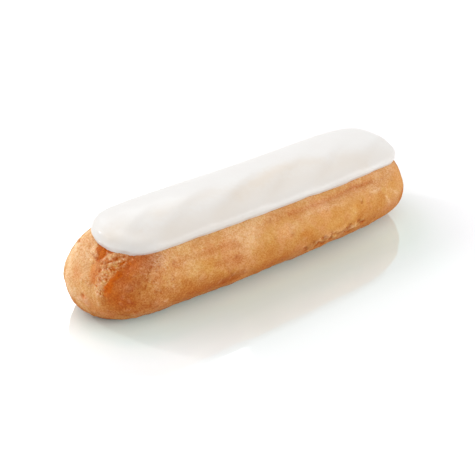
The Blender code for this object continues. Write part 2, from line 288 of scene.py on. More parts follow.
    "crag flake 2": Mark(((331.5, 233.6), (326, 236.6)), 0.6, lift=0.3, pale=0.35),
    "crag flake 3": Mark(((355, 223.6), (350, 228)), 0.6, lift=0.35, toast_and_shading=-0.3, pale=0.2),
    "crag flake 4": Mark(((320.5, 238.6), (316.5, 241.6)), 0.5, lift=0.3, pale=0.3),
    "crag ledge": Mark(((306, 249), (320, 242), (336, 235), (352, 227), (362, 221)), 1.3, orange=-0.25),
    "yellow patch 1": Mark(((354, 211), (353, 216)), 1.9, lift=0.1, toast_and_shading=-0.7),
    "yellow patch 2": Mark(((340, 219), (333, 223)), 1.7, lift=0.1, toast_and_shading=-0.6),
    "far cheek": Mark(((374, 188), (386, 177), (390, 171)), 2.6, toast_and_shading=0.36, orange=0.02, pale=0.2),
    "far tip": Mark(((394, 166), (399, 184), (396, 198)), 2.8, pale=0.2),
    "far side": Mark(((387, 168), (386, 186), (387, 202)), 2.0, pale=0.06),
    "far fleck 1": Mark(((391, 189), (397, 193)), 0.6, lift=0.12, pale=0.45),
    "far fleck 2": Mark(((371, 193), (379, 189)), 0.7, lift=0.1, pale=0.25),
    "far fleck 3": Mark(((386, 196), (388, 200), (390, 204)), 0.7, lift=0.12, pale=0.45),
    "far pit": Mark(((362, 201.5), (361.8, 202.5)), 0.5, lift=-0.4, toast_and_shading=0.7),
}

# Darker, warmer lobes and streaks, as shares in pale: the icing thin with the crust tinting it,
# and painted shade on the waves' shaded sides, along the lower flank and at the near end; and
# crests that are lifted.
ICING_MARKS = {
    "near shade": Mark(((112, 236), (128, 234), (142, 238)), 3.6, pale=0.42),
    "end shade": Mark(((105, 231), (109, 237), (118, 243)), 2.8, pale=0.28),
    "near streak": Mark(((116, 226), (134, 220), (154, 214)), 4.0, pale=0.26),
    "thin band": Mark(
        ((166, 236), (204, 221), (246, 202), (282, 186), (318, 174), (358, 163)), 5.5, pale=0.6
    ),
    "second streak": Mark(((162, 213), (178, 206), (196, 199), (214, 192)), 3.2, pale=0.42),
    "third shade": Mark(((260, 182), (272, 174), (284, 168)), 3.0, pale=0.4),
    "third streak": Mark(
        ((236, 193), (252, 184), (268, 175), (282, 168), (298, 163), (316, 161)), 3.4, pale=0.65
    ),
    "far lobe": Mark(((342, 158), (362, 156), (386, 154)), 4.0, pale=0.3),
    "second crest": Mark(((168, 224), (186, 209), (206, 194)), 3.0, lift=0.1),
    "third crest": Mark(((214, 205), (230, 191), (250, 174)), 2.5, lift=0.1),
    "far crest": Mark(((262, 187), (276, 175), (290, 167)), 2.5, lift=0.08),
}

# The pour's slow waves on the icing: their spacing along X, how far they slant with Y, where
# the first crest is, how much of each wave is its steep right side, and their height. Then the
# size and reach of their bends, and where they fade out towards the back and the near end.
POUR_SPACING = 21.6 * MM
POUR_SLANT = 1.9
POUR_CREST = -20.6 * MM
POUR_STEEP = 0.35
POUR_HEIGHT = 0.3 * MM
POUR_BEND = (14 * MM, 2.5 * MM)
POUR_BACK = (-5 * MM, 6 * MM)
POUR_END = (-58 * MM, -46 * MM)

# Where the icing is tinted darker and warmer, for thin icing and painted shade. A share is
# taken off at the waves' crests. The flanks, where the normal's Z is low, get one amount inward
# of the lip as painted shade, and less at the lip itself, where the icing is thicker.
THICK_AT_CREST = 0.2
FLANK_THIN_AND_SHADE = 0.48
LIP_THIN_AND_SHADE = 0.1
FLANK_SLOPE = (0.7, 0.995)
FLANK_EDGE = (1.5 * MM, 6.5 * MM)

# The icing's rim: points that face sideways from the plain bun and lie near it. A point is on
# the icing's outside when it faces away from the bun.
RIM_FACING = 0.75
RIM_HEIGHT = 0.9 * MM
OUTSIDE_FACING = (0, 0.6)

# Relief of the icing: noise as (size, height, stretch along X), then bulges and a groove
# along the rim as (distance from it, width, lift). The end's bulge is at the near end only.
ICING_WAVES = ((18 * MM, 0.12 * MM, 2.0), (7 * MM, 0.04 * MM, 1.5))
LIP_GROOVE = (6.5 * MM, 2.6 * MM, -0.1 * MM)
LIP_BULGE = (3.0 * MM, 2.0 * MM, 0.04 * MM)
END_BULGE = (4.0 * MM, 2.4 * MM, 0.6 * MM)
END_REACH = (-54 * MM, -44 * MM)
RELIEF_FROM_RIM = (0.3 * MM, 3 * MM)

# How the icing sits on the crust: its rim spreads (by how much, over what reach) and goes a
# depth into the crust, and what lies close over the crust sinks, the outside only at the rim.
RIM_SPREAD = (0.13 * MM, 0.6 * MM)
RIM_REACH = (0.1 * MM, 0.6 * MM)
RIM_DEPTH = 0.4 * MM
ICING_SINK = 0.8 * MM
ICING_HELD = (0.35 * MM, 1.5 * MM)
OUTSIDE_HELD = (0.3 * MM, 2.5 * MM)
SETTLING_ROUNDS = 6

# Lines drawn at random: the seed, the length of one part, and how much the heading wanders.
SEED = 7
LINE_STEP = 1.2 * MM
LINE_WANDER = 0.4

# The regions they start in: bare is above the foot, hidden is its back and far tip, and
# rough and craggy are within a reach of the crumbly line and of the crags' ledge.
BARE_FROM_Z = 2.5 * MM
HIDDEN_FROM_Y = 12 * MM
HIDDEN_FROM_X = 66 * MM
ROUGH_REACH = 2.6 * MM
CRAGGY_REACH = 1.8 * MM

# The marks on them: how many, the region, the least and most reach and length in
# millimetres, and the values of the mark.
RANDOM_MARKS = (
    (200, "bare", (0.25, 0.42), (0.2, 0.7), {"lift": -0.2, "toast_and_shading": 0.35}),
    (170, "bare", (0.35, 0.6), (0.3, 1.2), {"lift": 0.12, "pale": 0.2}),
    (16, "hidden", (0.5, 0.7), (4, 9), {"lift": -0.35, "step": 0.35, "toast_and_shading": 0.5}),
    (10, "hidden", (1.0, 1.6), (6, 12), {"lift": -0.2, "step": 0.5, "toast_and_shading": 0.3}),
    (10, "hidden", (1.0, 2.0), (4, 10), {"lift": 0.2, "pale": 0.35}),
    (9, "hidden", (3.0, 5.0), (6, 14), {"toast_and_shading": 0.5}),
    (9, "hidden", (2.5, 5.0), (6, 14), {"toast_and_shading": -0.4}),
    (3, "hidden", (1.4, 1.8), (6, 10), {"lift": -0.2, "toast_and_shading": 0.2, "orange": 0.35}),
    (170, "rough", (0.2, 0.32), (0.1, 0.5), {"lift": -0.18, "toast_and_shading": 0.5, "orange": 0.3}),
    (200, "rough", (0.2, 0.35), (0.1, 0.5), {"lift": 0.12, "toast_and_shading": -0.3}),
    (160, "rough", (0.18, 0.28), (0.1, 0.4), {"lift": 0.1, "pale": 0.5}),
    (70, "craggy", (0.25, 0.45), (0.3, 1.4), {"lift": -0.3, "toast_and_shading": 0.5, "orange": 0.05}),
    (70, "craggy", (0.25, 0.45), (0.3, 1.4), {"lift": 0.2, "toast_and_shading": -0.35, "pale": 0.1}),
)

# The stored tints run from 0 to 1 with none at 0.5: ramps that keep what is over or under it.
OVER_NONE = ((0.5, 0.0), (1.0, 1.0))
UNDER_NONE = ((0.0, 1.0), (0.5, 0.0))
UNCHANGED = (1.0, 1.0, 1.0)

# Colours of the crust: three that change slowly along it, and one for each tint. Brown also
# paints shade, and light gold and pale also paint highlights, where the marks ask for them.
GOLDEN = (0.548, 0.274, 0.0715)
ROSY = (0.589, 0.289, 0.102)
SANDY = (0.516, 0.219, 0.0442)
BROAD_TONES = ((0.38, SANDY), (0.5, GOLDEN), (0.62, ROSY))
LIGHT_GOLD = (0.629, 0.36, 0.109)
BROWN = (0.334, 0.0851, 0.0126)
ORANGE = (0.541, 0.121, 0.00396)
PALE = (0.739, 0.493, 0.273)

# Noises of the crust: size, detail and roughness. The sand is grit mixed with a share of
# cells of one size.
BROAD_NOISE = (11 * MM, 3.0, 0.55)
MOTTLE_NOISE = (3.0 * MM, 4.0, 0.6)
GRIT_NOISE = (0.65 * MM, 6.0, 0.9)
CELL_SIZE = 0.38 * MM
CELL_SHARE = 0.45

# What the mottle and the sand multiply the colour by, at a low and a high value of theirs.
MOTTLE_TONES = ((0.35, (0.94, 0.86, 0.76)), (0.65, (1.03, 1.07, 1.12)))
SAND_TONES = ((0.25, (0.84, 0.66, 0.43)), (0.75, (1.12, 1.3, 1.65)))

# Grain is coarser at the near end than along the rest, and where the toast tint, painted shade
# included, is high. Under the orange it is partly hidden.
COARSE_X = -60 * MM
COARSE_GRAIN = 0.9
FINE_X = -10 * MM
FINE_GRAIN = 0.6
TOAST_AND_SHADE_GRAIN = 0.7
ORANGE_HIDES = ((0.0, 0.0), (1.0, 0.4))

CRUST_ROUGHNESS = ((0.3, 0.55), (0.7, 0.8))
CRUST_BUMP = {"Strength": 0.5, "Distance": 0.1 * MM}
CRUST_SHADER = {
    "Specular IOR Level": 0.12,
    "Subsurface Weight": 0.12,
    "Subsurface Radius": (1.0, 0.35, 0.1),
    "Subsurface Scale": 1.2 * MM,
}

# Looks of the icing: its cloudy white, the darker colour for thin icing and painted shade, and its satin
# gloss.
ICING = (0.642, 0.63, 0.614)
ICING_WARM = (0.636, 0.618, 0.6)
ICING_THIN_AND_SHADE = (0.6, 0.545, 0.485)
CLOUD_TONES = ((0.35, ICING_WARM), (0.6, ICING))
CLOUD_NOISE = (14 * MM, 2.0, 0.55)
SMEAR_NOISE = (5 * MM, 2.0, 0.55)
ICING_ROUGHNESS = ((0.3, 0.4), (0.7, 0.5))
ICING_BUMP = {"Strength": 0.1, "Distance": 0.05 * MM}
ICING_SHADER = {
    "Sheen Weight": 0.1,
    "Sheen Roughness": 0.3,
    "Specular IOR Level": 0.2,
    "Coat Weight": 0.12,
    "Coat Roughness": 0.12,
}

# The floor's tint follows the distance from a line along X under the eclair: the line's half
# length and its Y, where the ramps start and end, and their stops as (share, colour). The tint
# is painted shade, darker and greener around the eclair, and lighter right by it as painted light.
FLOOR_LINE = 48 * MM
FLOOR_LINE_Y = -6 * MM
FLOOR_REACH = (9 * MM, 89 * MM)
FLOOR_COLOURS = (
    (0.04, (0.84, 1.0, 0.98)),
    (0.1, (0.8, 0.94, 0.88)),
    (0.15, (0.735, 0.85, 0.8)),
    (0.2, (0.72, 0.815, 0.775)),
    (0.3, (0.765, 0.825, 0.81)),
    (0.47, (0.82, 0.85, 0.85)),
    (1.0, (0.82, 0.82, 0.81)),
)

# The painted shade's colours at the near end, the X over which they take over, a tint that is
# multiplied in towards the far end, and a faint glow close to the line: painted light, as the
# floor is no lamp.
FLOOR_NEAR_COLOURS = (
    (0.04, (0.82, 1.0, 0.99)),
    (0.1, (0.78, 0.94, 0.92)),
    (0.15, (0.79, 0.92, 0.91)),
    (0.2, (0.86, 0.94, 0.94)),
    (0.3, (0.87, 0.92, 0.94)),
    (0.47, (0.83, 0.85, 0.86)),
    (1.0, (0.82, 0.82, 0.81)),
)
FLOOR_NEAR_END = (-22 * MM, -55 * MM)
FLOOR_FAR_END = (50 * MM, 72 * MM)
FLOOR_FAR_TINT = (1.0, 0.955, 0.98)
FLOOR_PAINTED_GLOW = (
    (0.0, (0.025, 0.065, 0.06)),
    (0.04, (0.01, 0.03, 0.028)),
    (0.1, (0.0, 0.0, 0.0)),
)
FLOOR_SIZE = 8.0
# The emission lets the floor's painted glow show.
FLOOR_SHADER = {"Emission Strength": 1.0, "Roughness": 0.05, "IOR": 2.2}

# The light of the white surroundings, and the lamps: place, width, height and power.
SKY_LIGHT = 0.94
LAMPS = {
    "key": ((-0.06, 0.71, 0.57), 1.2, 0.32, 3.6),
    "left": ((-0.95, 0.12, 0.15), 1.0, 0.25, 1.5),
    "spark": ((-0.40, 0.71, 0.38), 0.06, 0.09, 1.6),
    "fill": ((0.55, -0.75, 0.35), 0.8, 0.4, 4.4),
}


def camera_axes():
    """The camera's place, and its directions to the right, up and back."""
    back = Vector((
        math.sin(CAMERA_AZIMUTH) * math.cos(CAMERA_ELEVATION),
        -math.cos(CAMERA_AZIMUTH) * math.cos(CAMERA_ELEVATION),
        math.sin(CAMERA_ELEVATION),
    ))
    right = Vector((math.cos(CAMERA_AZIMUTH), math.sin(CAMERA_AZIMUTH), 0.0))
    return CAMERA_TARGET + back * CAMERA_DISTANCE, right, back.cross(right), back


def make_camera():
    place, right, up, back = camera_axes()
    data = bpy.data.cameras.new("camera")
    data.sensor_width = SENSOR_WIDTH
    data.lens = FOCAL_PIXELS / PHOTO_SIZE * data.sensor_width
    data.clip_start = CLIP_START
    data.clip_end = CLIP_END
    camera = bpy.data.objects.new("camera", data)
    bpy.context.scene.collection.objects.link(camera)
    turn = Matrix((right, up, back)).transposed().to_4x4()
    camera.matrix_world = Matrix.Translation(place) @ turn
    bpy.context.scene.camera = camera


def copy_of_node(node, name):
    """A new object with the node's mesh, its doubled vertices joined and its quads restored."""
    mesh = bmesh.new()
    mesh.from_mesh(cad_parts[node].data)
    bmesh.ops.remove_doubles(mesh, verts=mesh.verts, dist=JOIN_DISTANCE)
    bmesh.ops.join_triangles(
        mesh, faces=mesh.faces, angle_face_threshold=JOIN_BEND, angle_shape_threshold=JOIN_SKEW
    )
    data = bpy.data.meshes.new(name)
    mesh.to_mesh(data)
    mesh.free()
    item = bpy.data.objects.new(name, data)
    bpy.context.scene.collection.objects.link(item)
    return item


def add_subdivision(item):
    subdivision = item.modifiers.new("subdivision", "SUBSURF")
    subdivision.levels = SUBDIVISIONS
    subdivision.render_levels = SUBDIVISIONS


def apply_modifiers(item):
    """Makes what the modifiers show the object's own mesh."""
    graph = bpy.context.evaluated_depsgraph_get()
    made = bpy.data.meshes.new_from_object(item.evaluated_get(graph))
    item.modifiers.clear()
    item.data = made
    item.data.shade_smooth()


def read_points(data):
    points = np.empty(len(data.vertices) * 3)
    data.vertices.foreach_get("co", points)
    return points.reshape(-1, 3)


def read_normals(data):
    normals = np.empty(len(data.vertices) * 3)
    data.vertex_normals.foreach_get("vector", normals)
    return normals.reshape(-1, 3)


def write_points(data, points):
    data.vertices.foreach_set("co", points.ravel())
    data.update()


def search_tree(item):
    return BVHTree.FromObject(item, bpy.context.evaluated_depsgraph_get())


def smooth_step(low, high, values):
    share = np.clip((values - low) / (high - low), 0, 1)
    return share * share * (3 - 2 * share)


def bell(values, middle, width):
    return np.exp(-(((values - middle) / width) ** 2))


def noise_at(points, size, stretch=(1, 1, 1), offset=0.0):
    """Noise between about -1 and 1 with grains of this size, stretched along the axes."""
    scaled = points / (size * np.array(stretch)) + offset
    return np.array([noise.noise(point) for point in scaled])


def warped(points):
    """The points moved about a little, so that what is drawn on them gets ragged."""
    return points + WARP * np.array([noise.noise_vector(point) for point in points / WARP_SIZE])


def under_pixel(tree, pixel):
    """The point of a surface that a pixel of the photograph shows."""
    place, right, up, back = camera_axes()
    across = (pixel[0] - PHOTO_SIZE / 2) / FOCAL_PIXELS
    down = (pixel[1] - PHOTO_SIZE / 2) / FOCAL_PIXELS
    hit = tree.ray_cast(place, (right * across - up * down - back).normalized())[0]
    if hit is None:
        raise ValueError(f"the surface isn't under pixel {pixel}")
    return np.array(hit)


def beside_line(points, normals, line):
    """How far each point is from a line through several places, and 1 on its left or -1."""
    nearest = np.full(len(points), np.inf)
    side = np.ones(len(points))
    for start, end in zip(line, line[1:]):
        run = end - start
        share = np.clip((points - start) @ run / (run @ run), 0, 1)
        offset = points - start - share[:, None] * run
        away = np.linalg.norm(offset, axis=1)
        closer = away < nearest
        nearest[closer] = away[closer]
        left = np.einsum("ij,ij->i", np.cross(normals, run), offset)
        side[closer] = np.sign(left[closer])
    return nearest, side


def add_marks(points, normals, marks, lines):
    """Heights and tints that the marks add at the points."""
    places = warped(points)
    ragged = noise_at(points, RAGGED_SIZE, offset=RAGGED_NOISE)
    height = np.zeros(len(points))
    tints = np.zeros((len(points), 3))
    for mark, line in zip(marks, lines):
        reach = mark.reach * MM
        line = np.array(line)
        low = line.min(axis=0) - MARK_EXTENT * reach
        high = line.max(axis=0) + MARK_EXTENT * reach
        near = np.nonzero(np.all((places > low) & (places < high), axis=1))[0]
        away, side = beside_line(places[near], normals[near], line)
        share = np.exp(-((away / reach * (1 + RAGGED * ragged[near])) ** 2))
        slope = np.tanh(side * away / STEP_EDGE) / 2
        height[near] += (mark.lift + mark.step * slope) * MM * share
        if mark.right_only:
            share *= 0.5 - slope
        tints[near] += share[:, None] * np.array((mark.toast_and_shading, mark.orange, mark.pale))
    return height, tints


def store_colour(data, name, values):
    """Keeps three values a vertex, each from -1 to 1, as a colour that a material can read."""
    layer = data.color_attributes.new(name, "FLOAT_COLOR", "POINT")
    colours = np.ones((len(values), 4))
    colours[:, :3] = np.clip(0.5 + values / 2, 0, 1)
    layer.data.foreach_set("color", colours.ravel())


def line_over(tree, start, length, draws):
    """A slightly bent line that runs over a surface from a place."""
    line = [np.array(start)]
    heading = draws.normal(size=3)
    steps = max(1, round(length / LINE_STEP))
    for _ in range(steps):
        heading += LINE_WANDER * draws.normal(size=3)
        normal = np.array(tree.find_nearest(line[-1])[1])
        heading -= normal * (heading @ normal)
        heading /= np.linalg.norm(heading)
        line.append(np.array(tree.find_nearest(line[-1] + heading * length / steps)[0]))
    return line


def random_marks(tree, points, normals, rough_line, craggy_line):
    """Small pits and flakes all over the crust, and creases, stains and folds where it is hidden."""
    draws = np.random.default_rng(SEED)
    bare = points[points[:, 2] > BARE_FROM_Z]
    regions = {
        "bare": bare,
        "hidden": bare[(bare[:, 1] > HIDDEN_FROM_Y) | (bare[:, 0] > HIDDEN_FROM_X)],
        "rough": points[beside_line(points, normals, rough_line)[0] < ROUGH_REACH],
        "craggy": points[beside_line(points, normals, craggy_line)[0] < CRAGGY_REACH],
    }
    marks = []
    lines = []
    for count, region, reaches, lengths, values in RANDOM_MARKS:
        where = regions[region]
        for _ in range(count):
            start = where[draws.integers(len(where))]
            line = line_over(tree, start, draws.uniform(*lengths) * MM, draws)
            marks.append(Mark(None, draws.uniform(*reaches), **values))
            lines.append(line)
    return marks, lines


def subdivide_box(item, low, high):
    """Splits the faces inside a box into four."""
    mesh = bmesh.new()
    mesh.from_mesh(item.data)
    edges = [
        edge for edge in mesh.edges
        if all(low[i] < end.co[i] < high[i] for end in edge.verts for i in range(3))
    ]
    bmesh.ops.subdivide_edges(mesh, edges=edges, cuts=1, use_grid_fill=True)
    mesh.to_mesh(item.data)
    mesh.free()


def merge_base(item):
    """Joins the faces of the flat underside into one."""
    mesh = bmesh.new()
    mesh.from_mesh(item.data)
    flat = [face for face in mesh.faces if all(abs(end.co.z) < FLAT_BASE for end in face.verts)]
    bmesh.ops.dissolve_faces(mesh, faces=flat)
    mesh.to_mesh(item.data)
    mesh.free()


def plain_crust():
    """The bun as a fine even mesh, finer still at the near tip's crack."""
    crust = copy_of_node("choux_bun", "crust")
    add_subdivision(crust)
    remesh = crust.modifiers.new("remesh", "REMESH")
    remesh.mode = "VOXEL"
    remesh.voxel_size = CRUST_VOXEL
    smoothing = crust.modifiers.new("smoothing", "SMOOTH")
    smoothing.factor = SMOOTHING_FACTOR
    smoothing.iterations = SMOOTHING_ROUNDS
    apply_modifiers(crust)
    merge_base(crust)
    subdivide_box(crust, *FINER_BOX)
    return crust


def crust_marks(tree, points, normals):
    """Heights and tints of all marks: the random ones, and those that the photograph shows."""
    shown = {
        name: [under_pixel(tree, pixel) for pixel in mark.line] for name, mark in CRUST_MARKS.items()
    }
    crumbly_line = shown["far roll"][::-1] + shown["pale band"][:-1]
    marks, lines = random_marks(tree, points, normals, crumbly_line, shown["crag ledge"])
    marks += CRUST_MARKS.values()
    lines += shown.values()
    return add_marks(points, normals, marks, lines)


def add_roughness(height, tints, points, normals, icing_tree):
    """Adds the grains and the foot's bumps to the crust's heights, and fades them."""
    rough = 1 - ORANGE_SMOOTHNESS * np.clip(tints[:, 1], 0, 1)
    for number, (size, depth, stretch) in enumerate(CRUST_GRAINS):
        height += rough * depth * noise_at(points, size, (stretch, 1, 1), NOISE_STEP * number)
    for index, (point, normal) in enumerate(zip(points, normals)):
        if icing_tree.ray_cast(point, normal, ICING_REACH)[0] is not None:
            height[index] *= UNDER_ICING_RELIEF
    size, depth, stretch = FOOT_BUMPS
    bumps = noise_at(points, size, (stretch, 1, 1), FOOT_NOISE)
    height += depth * bumps * bell(points[:, 2], *FOOT_BUMPS_AT)
    height *= smooth_step(*BASE_EDGE, points[:, 2])


def add_browning_and_painted_light(tints, points, normals, to_icing):
    """Adds the tints that follow from a point's place and from the way it faces: browning with painted
    shade underneath, at the foot and along the icing, and a paler top as painted sheen.
    """
    # Darker along the icing's edge: damp crust, with painted shadow under the edge.
    tints[:, 0] += DAMP_TOAST_AND_SHADE * bell(to_icing, 0, DAMP_AND_SHADE_REACH)
    # Paler where the crust faces up: painted sheen.
    upside = smooth_step(*FACING_UP, normals[:, 2])
    tints[:, 0] += UPSIDE_TOAST * upside
    tints[:, 2] += UPSIDE_PAINTED_SHEEN * upside
    # Browner and redder where the crust faces down: browning, with painted shade.
    downside = 1 - smooth_step(*FACING_DOWN, normals[:, 2])
    tints[:, 0] += UNDERSIDE_TOAST_AND_SHADE * downside
    tints[:, 1] += UNDERSIDE_ORANGE_AND_SHADE * downside
    # Browner near the floor: browning, with painted shade.
    tints[:, 0] += FOOT_TOAST_AND_SHADE * (1 - smooth_step(*FOOT, points[:, 2]))


def make_crust(icing):
    crust = plain_crust()
    points = read_points(crust.data)
    normals = read_normals(crust.data)
    height, tints = crust_marks(search_tree(crust), points, normals)
    icing_tree = search_tree(icing)
    add_roughness(height, tints, points, normals, icing_tree)
    to_icing = np.array([icing_tree.find_nearest(point)[3] for point in points])
    most = MOST_OF_ICING_GAP * to_icing
    height = np.clip(height, -most, most)
    add_browning_and_painted_light(tints, points, normals, to_icing)
    points += normals * height[:, None]
    points[:, 2] = np.maximum(points[:, 2], 0.0)
    write_points(crust.data, points)
    store_colour(crust.data, "tints", tints)
    return crust


def make_icing():
    icing = copy_of_node("white_icing", "icing_coat")
    add_subdivision(icing)
    apply_modifiers(icing)
    return icing


def pour_waves(points):
    """Slanted waves from 0 to 1, each falling on its steep right side, and where they fade."""
    bend = POUR_BEND[1] * noise_at(points, POUR_BEND[0], offset=POUR_NOISE)
    turn = (points[:, 0] - POUR_SLANT * points[:, 1] + bend - POUR_CREST) / POUR_SPACING % 1
    fall = 1 - smooth_step(0, POUR_STEEP, turn)
    rise = smooth_step(POUR_STEEP, 1, turn)
    fade = smooth_step(*POUR_END, points[:, 0]) * (1 - smooth_step(*POUR_BACK, points[:, 1]))
    return fall + rise, fade


def nearest_below(tree, points):
    """The normal of the surface nearest to each point, and the point's height over it."""
    held = [tree.find_nearest(point) for point in points]
    below = np.array([hit[1] for hit in held])
    return below, np.einsum("ij,ij->i", points - np.array([hit[0] for hit in held]), below)


def averaged(data, values, rounds):
    """A value for each vertex, averaged with its neighbours' a few times over."""
    ends = np.empty(len(data.edges) * 2, int)
    data.edges.foreach_get("vertices", ends)
    first, second = ends.reshape(-1, 2).T
    near = np.bincount(np.concatenate((first, second)), minlength=len(values))
    for _ in range(rounds):
        total = values.copy()
        np.add.at(total, first, values[second])
        np.add.at(total, second, values[first])
        values = total / (near + 1)[:, None]
    return values


def distances_from_rim(points, facing, depth):
    """How far each point of the icing is from the nearest point on its rim."""
    rim = np.nonzero((np.abs(facing) < RIM_FACING) & (depth < RIM_HEIGHT))[0]
    rim_tree = KDTree(len(rim))
    for index in rim:
        rim_tree.insert(points[index], index)
    rim_tree.balance()
    return np.array([rim_tree.find(point)[2] for point in points])


def icing_relief(points, pour, from_rim):
    """The pour's heights with the fine waves, the lip, and the bulge at the near end."""
    height = pour.copy()
    for number, (size, depth, stretch) in enumerate(ICING_WAVES):
        start = WAVE_NOISE + NOISE_STEP * number
        height += depth * noise_at(points, size, (stretch, 1, 1), start)
    for middle, width, lift in (LIP_GROOVE, LIP_BULGE):
        height += lift * bell(from_rim, middle, width)
    middle, width, lift = END_BULGE
    at_end = 1 - smooth_step(*END_REACH, points[:, 0])
    height += lift * bell(from_rim, middle, width) * at_end
    return height


def sinking(outside, depth, from_rim):
    """How far each point of the icing sinks towards the crust and into it."""
    sunk = ICING_SINK * (1 - smooth_step(*ICING_HELD, depth))
    sunk *= 1 - outside * smooth_step(*OUTSIDE_HELD, from_rim)
    at_rim = 1 - smooth_step(*RIM_REACH, from_rim)
    return np.maximum(sunk, at_rim * (depth + RIM_DEPTH))


def settle_icing(icing, crust):
    """Gives the icing its waves and lip, and lets its rim and underside sink into the crust."""
    points = read_points(icing.data)
    normals = read_normals(icing.data)
    waves, fade = pour_waves(points)
    plain_below, plain_depth = nearest_below(search_tree(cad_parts["choux_bun"]), points)
    facing = np.einsum("ij,ij->i", normals, plain_below)
    from_rim = distances_from_rim(points, facing, plain_depth)
    outside = smooth_step(*OUTSIDE_FACING, facing)
    below, depth = nearest_below(search_tree(crust), points)
    below = averaged(icing.data, below, SETTLING_ROUNDS)
    below /= np.linalg.norm(below, axis=1)[:, None]
    depth = averaged(icing.data, depth[:, None], SETTLING_ROUNDS)[:, 0]
    height = icing_relief(points, POUR_HEIGHT * waves * fade, from_rim)
    points += normals * (height * outside * smooth_step(*RELIEF_FROM_RIM, from_rim))[:, None]
    spread, reach = RIM_SPREAD
    points += normals * (spread * bell(from_rim, 0, reach))[:, None]
    points -= below * sinking(outside, depth, from_rim)[:, None]
    write_points(icing.data, points)
    tree = search_tree(icing)
    lines = [[under_pixel(tree, pixel) for pixel in mark.line] for mark in ICING_MARKS.values()]
    height, tints = add_marks(points, normals, ICING_MARKS.values(), lines)
    points += normals * height[:, None]
    write_points(icing.data, points)
    # Tint for thin icing and painted shade: the marks, less at the crests, and the flanks that face
    # sideways.
    thin_and_shade = tints[:, 2] * (1 - THICK_AT_CREST * waves)
    flank = 1 - smooth_step(*FLANK_SLOPE, read_normals(icing.data)[:, 2])
    inward = smooth_step(*FLANK_EDGE, from_rim)
    thin_and_shade += flank * (LIP_THIN_AND_SHADE + (FLANK_THIN_AND_SHADE - LIP_THIN_AND_SHADE) * inward)
    store_colour(icing.data, "thin_and_shade", np.repeat(thin_and_shade[:, None], 3, axis=1))


def new_material(name):
    material = bpy.data.materials.new(name)
    material.use_nodes = True
    return material, material.node_tree, material.node_tree.nodes["Principled BSDF"]


def new_node(tree, kind, **values):
    """A new shader node, its inputs set by name, with spaces as underscores."""
    made = tree.nodes.new("ShaderNode" + kind)
    for name, value in values.items():
        made.inputs[name.replace("_", " ")].default_value = value
    return made


def set_inputs(shader, values):
    for name, value in values.items():
        shader.inputs[name].default_value = value


def feed(tree, socket, value):
    """Gives a socket its value: another socket, a colour, or a number."""
    if isinstance(value, bpy.types.NodeSocket):
        tree.links.new(value, socket)
    elif isinstance(value, tuple):
        socket.default_value = (*value, 1)
    else:
        socket.default_value = value


def calculated(tree, operation, *values):
    """The result of a Math node, each value a number or a socket."""
    made = new_node(tree, "Math")
    made.operation = operation
    for socket, value in zip(made.inputs, values):
        feed(tree, socket, value)
    return made.outputs["Value"]


def attribute(tree, name):
    made = new_node(tree, "Attribute")
    made.attribute_name = name
    return made.outputs


def split_axes(tree, place):
    made = new_node(tree, "SeparateXYZ")
    tree.links.new(place, made.inputs["Vector"])
    return made.outputs


def object_place(tree):
    """The place on the object, in its own metres."""
    return new_node(tree, "TexCoord").outputs["Object"]


def ramp(tree, source, *stops):
    """A colour ramp after a value: stops are (position, grey level or colour)."""
    made = tree.nodes.new("ShaderNodeValToRGB")
    elements = made.color_ramp.elements
    while len(elements) < len(stops):
        elements.new(0.5)
    for element, (position, level) in zip(elements, stops):
        element.position = position
        element.color = (*level, 1) if isinstance(level, tuple) else (level, level, level, 1)
    tree.links.new(source, made.inputs["Fac"])
    return made.outputs["Color"]


def noise_texture(tree, place, size, detail, roughness):
    made = new_node(tree, "TexNoise", Scale=1 / size, Detail=detail, Roughness=roughness)
    tree.links.new(place, made.inputs["Vector"])
    return made.outputs["Fac"]


def mixed(tree, share, first, second, blend="MIX", clamped=True):
    """Two colours mixed by a share, each a colour or a socket."""
    made = tree.nodes.new("ShaderNodeMix")
    made.data_type = "RGBA"
    made.blend_type = blend
    made.clamp_factor = clamped
    for name, value in (("Factor", share), ("A", first), ("B", second)):
        socket = [socket for socket in made.inputs if socket.name == name and socket.enabled][0]
        feed(tree, socket, value)
    return [socket for socket in made.outputs if socket.enabled][0]


def add_bump(tree, shader, height, values):
    bump = new_node(tree, "Bump", **values)
    tree.links.new(height, bump.inputs["Height"])
    tree.links.new(bump.outputs["Normal"], shader.inputs["Normal"])


def sand_noise(tree, place, grit):
    """Grit mixed with cells of one size, each with its own grey."""
    cells = new_node(tree, "TexVoronoi", Scale=1 / CELL_SIZE)
    tree.links.new(place, cells.inputs["Vector"])
    cell_tone = new_node(tree, "SeparateColor")
    tree.links.new(cells.outputs["Color"], cell_tone.inputs["Color"])
    return mixed(tree, CELL_SHARE, grit, cell_tone.outputs["Red"])


